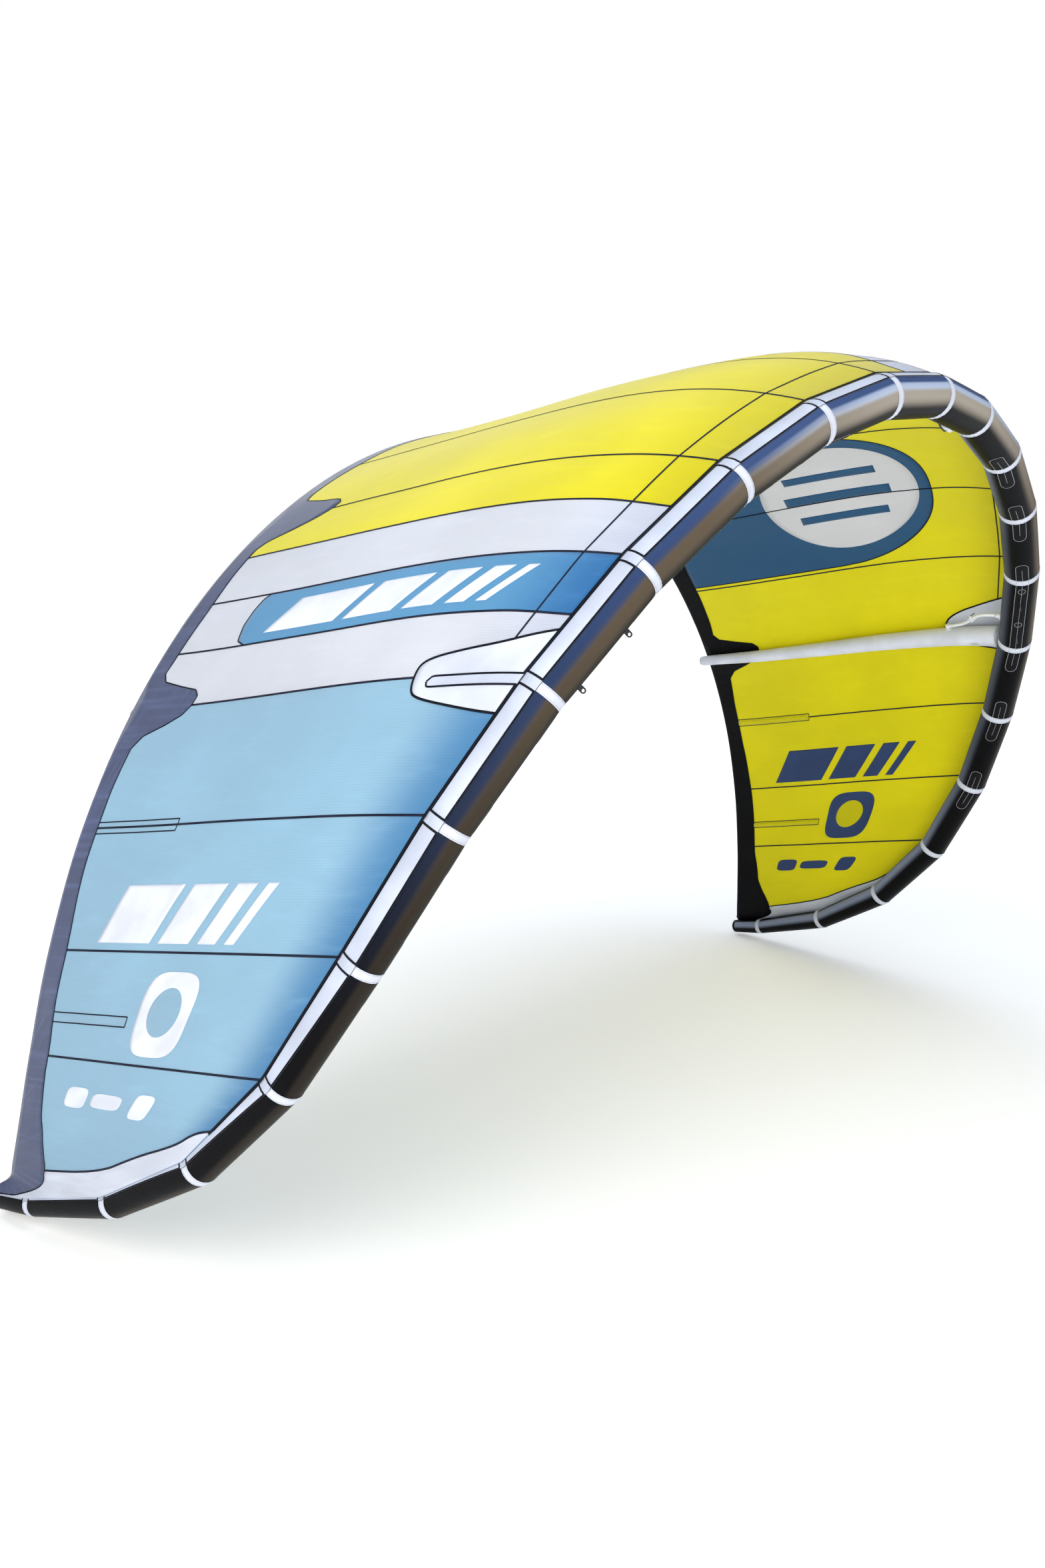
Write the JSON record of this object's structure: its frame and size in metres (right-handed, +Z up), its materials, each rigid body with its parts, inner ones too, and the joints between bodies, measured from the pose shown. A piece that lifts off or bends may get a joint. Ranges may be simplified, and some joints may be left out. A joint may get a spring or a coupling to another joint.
{
  "type": "kitesurf kite",
  "caption": "Inflatable leading-edge kite with a black tube, three struts and a two-colour ripstop canopy, inflated as in flight.",
  "frame": {"origin": "below the middle of the kite's box, on the level of the wingtips' lowest points", "axes": "+X along the span to the right wing, +Y from the leading edge to the trailing edge, +Z up"},
  "size_m": [3.9714, 1.9159, 2.4934],
  "materials": {
    "tube_black": "satin woven polyester",
    "white_cloth": "coated woven polyester",
    "strut_white": "satin woven polyester",
    "bladder_film": "translucent film",
    "canopy_yellow": "ripstop",
    "canopy_blue": "ripstop",
    "dark_cloth": "coated woven polyester",
    "batten_rod": "smooth",
    "webbing": "woven webbing",
    "hose_white": "smooth",
    "fitting_plastic": "moulded"
  },
  "bodies": {
    "kite": {"le_casing_left_1": "tube_black", "le_casing_left_2": "tube_black", "le_casing_left_3": "tube_black", "le_casing_left_4": "tube_black", "le_casing_right_1": "tube_black", "le_casing_right_2": "tube_black", "le_casing_right_3": "tube_black", "le_casing_right_4": "tube_black", "le_bladder": "bladder_film", "seam_bands_left": "white_cloth", "spine_strip_left": "white_cloth", "spine_tabs_left": "white_cloth", "tip_closure_left": "dark_cloth", "seam_bands_right": "white_cloth", "spine_strip_right": "white_cloth", "spine_tabs_right": "white_cloth", "tip_closure_right": "dark_cloth", "canopy_left_1": "canopy_yellow", "canopy_left_2": "canopy_yellow", "canopy_left_3": "canopy_blue", "canopy_left_4": "canopy_blue", "trailing_band_left": "dark_cloth", "canopy_right_1": "canopy_yellow", "canopy_right_2": "canopy_yellow", "canopy_right_3": "canopy_yellow", "canopy_right_4": "canopy_yellow", "trailing_band_right": "dark_cloth", "trailing_gussets_left": "dark_cloth", "strut_patch_left": "white_cloth", "tip_panel_left": "white_cloth", "trailing_gussets_right": "dark_cloth", "strut_patch_right": "white_cloth", "tip_panel_right": "white_cloth", "batten_pockets_left": "canopy_yellow", "battens_left": "batten_rod", "batten_pockets_right": "canopy_yellow", "battens_right": "batten_rod", "strut_casing_centre": "strut_white", "strut_bladder_centre": "bladder_film", "strut_casing_left": "strut_white", "strut_bladder_left": "bladder_film", "strut_casing_right": "strut_white", "strut_bladder_right": "bladder_film", "anchor_patches_left": "dark_cloth", "anchor_patches_right": "dark_cloth", "inflate_valve": "fitting_plastic", "dump_valve": "fitting_plastic", "hoses": "hose_white", "hose_fittings": "fitting_plastic", "clip_bases": "fitting_plastic"},
    "bridle_loop_left_1": {"bridle_loop_left_1": "webbing"},
    "bridle_loop_left_2": {"bridle_loop_left_2": "webbing"},
    "bridle_loop_right_1": {"bridle_loop_right_1": "webbing"},
    "bridle_loop_right_2": {"bridle_loop_right_2": "webbing"},
    "inflate_cap": {"inflate_cap": "fitting_plastic"},
    "dump_cap": {"dump_cap": "fitting_plastic"},
    "clip_lever_centre": {"clip_lever_centre": "fitting_plastic"},
    "clip_lever_left": {"clip_lever_left": "fitting_plastic"},
    "clip_lever_right": {"clip_lever_right": "fitting_plastic"}
  },
  "joints": [
    {"name": "bridle_loop_left_1_swing", "type": "hinge", "parent": "kite", "child": "bridle_loop_left_1", "pos_m": [-1.16366, -0.7222, 1.73878], "axis": [-0.6301, 0.2714, -0.7275], "range_deg": [-60, 60]},
    {"name": "bridle_loop_left_2_swing", "type": "hinge", "parent": "kite", "child": "bridle_loop_left_2", "pos_m": [-1.27267, -0.67523, 1.61325], "axis": [-0.6301, 0.2714, -0.7275], "range_deg": [-60, 60]},
    {"name": "bridle_loop_right_1_swing", "type": "hinge", "parent": "kite", "child": "bridle_loop_right_1", "pos_m": [1.16366, -0.7222, 1.73878], "axis": [0.6301, 0.2714, -0.7275], "range_deg": [-60, 60]},
    {"name": "bridle_loop_right_2_swing", "type": "hinge", "parent": "kite", "child": "bridle_loop_right_2", "pos_m": [1.27267, -0.67523, 1.61325], "axis": [0.6301, 0.2714, -0.7275], "range_deg": [-60, 60]},
    {"name": "inflate_cap_turn", "type": "hinge", "parent": "kite", "child": "inflate_cap", "pos_m": [-0.21796, -0.82058, 2.29601], "axis": [0.0775, 0.8641, -0.4974], "range_deg": [0, 90]},
    {"name": "dump_cap_flap", "type": "hinge", "parent": "kite", "child": "dump_cap", "pos_m": [0.21984, -0.81282, 2.31663], "axis": [0.9943, 0.0305, -0.1019], "range_deg": [0, 110]},
    {"name": "clip_lever_centre_open", "type": "hinge", "parent": "kite", "child": "clip_lever_centre", "pos_m": [0.09473, -0.72732, 2.39116], "axis": [0.3749, -0.5513, -0.7454], "range_deg": [0, 85]},
    {"name": "clip_lever_left_open", "type": "hinge", "parent": "kite", "child": "clip_lever_left", "pos_m": [-1.31212, -0.48041, 1.69947], "axis": [0.7069, -0.6448, 0.2908], "range_deg": [0, 85]},
    {"name": "clip_lever_right_open", "type": "hinge", "parent": "kite", "child": "clip_lever_right", "pos_m": [1.30001, -0.47168, 1.68941], "axis": [-0.7069, -0.6448, 0.2908], "range_deg": [0, 85]}
  ]
}
